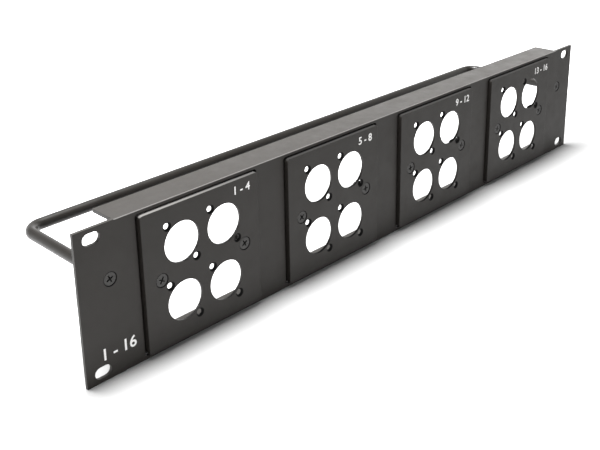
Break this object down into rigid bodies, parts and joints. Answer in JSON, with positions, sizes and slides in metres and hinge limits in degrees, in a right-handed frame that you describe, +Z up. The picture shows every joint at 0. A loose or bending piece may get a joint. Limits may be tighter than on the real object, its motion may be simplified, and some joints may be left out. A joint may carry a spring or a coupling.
{
  "type": "audio patch bay",
  "caption": "Folded steel rack panel holding removable modules with round connector cut-outs, and a bent bar behind it for tying cables.",
  "frame": {"origin": "centre of the bounding box's base", "axes": "+X along the panel to the right seen from the front, +Y towards the back of the rack, +Z up"},
  "size_m": [0.4826, 0.091, 0.0881],
  "materials": {
    "frame_coat": "fine black powder coat",
    "module_coat": "fine black powder coat",
    "screw_steel": "black zinc plate",
    "bar_coat": "satin black coat"
  },
  "bodies": {
    "frame": {"frame_panel": "frame_coat", "bar_screw_left": "screw_steel", "bar_screw_right": "screw_steel", "backing_post_1": "frame_coat", "backing_post_2": "frame_coat", "backing_post_3": "frame_coat", "backing_post_4": "frame_coat", "backing_post_5": "frame_coat", "backing_rail_lower": "frame_coat", "backing_rail_upper": "frame_coat", "strain_relief_bar": "bar_coat"},
    "module_1": {"module_plate_1": "module_coat", "module_screw_1_left": "screw_steel", "module_screw_1_right": "screw_steel"},
    "module_2": {"module_plate_2": "module_coat", "module_screw_2_left": "screw_steel", "module_screw_2_right": "screw_steel"},
    "module_3": {"module_plate_3": "module_coat", "module_screw_3_left": "screw_steel", "module_screw_3_right": "screw_steel"},
    "module_4": {"module_plate_4": "module_coat", "module_screw_4_left": "screw_steel", "module_screw_4_right": "screw_steel"}
  },
  "joints": [
    {"name": "module_1_slide", "type": "slide", "parent": "frame", "child": "module_1", "axis": [0, -1, 0], "range_m": [0, 0.03]},
    {"name": "module_2_slide", "type": "slide", "parent": "frame", "child": "module_2", "axis": [0, -1, 0], "range_m": [0, 0.03]},
    {"name": "module_3_slide", "type": "slide", "parent": "frame", "child": "module_3", "axis": [0, -1, 0], "range_m": [0, 0.03]},
    {"name": "module_4_slide", "type": "slide", "parent": "frame", "child": "module_4", "axis": [0, -1, 0], "range_m": [0, 0.03]}
  ]
}
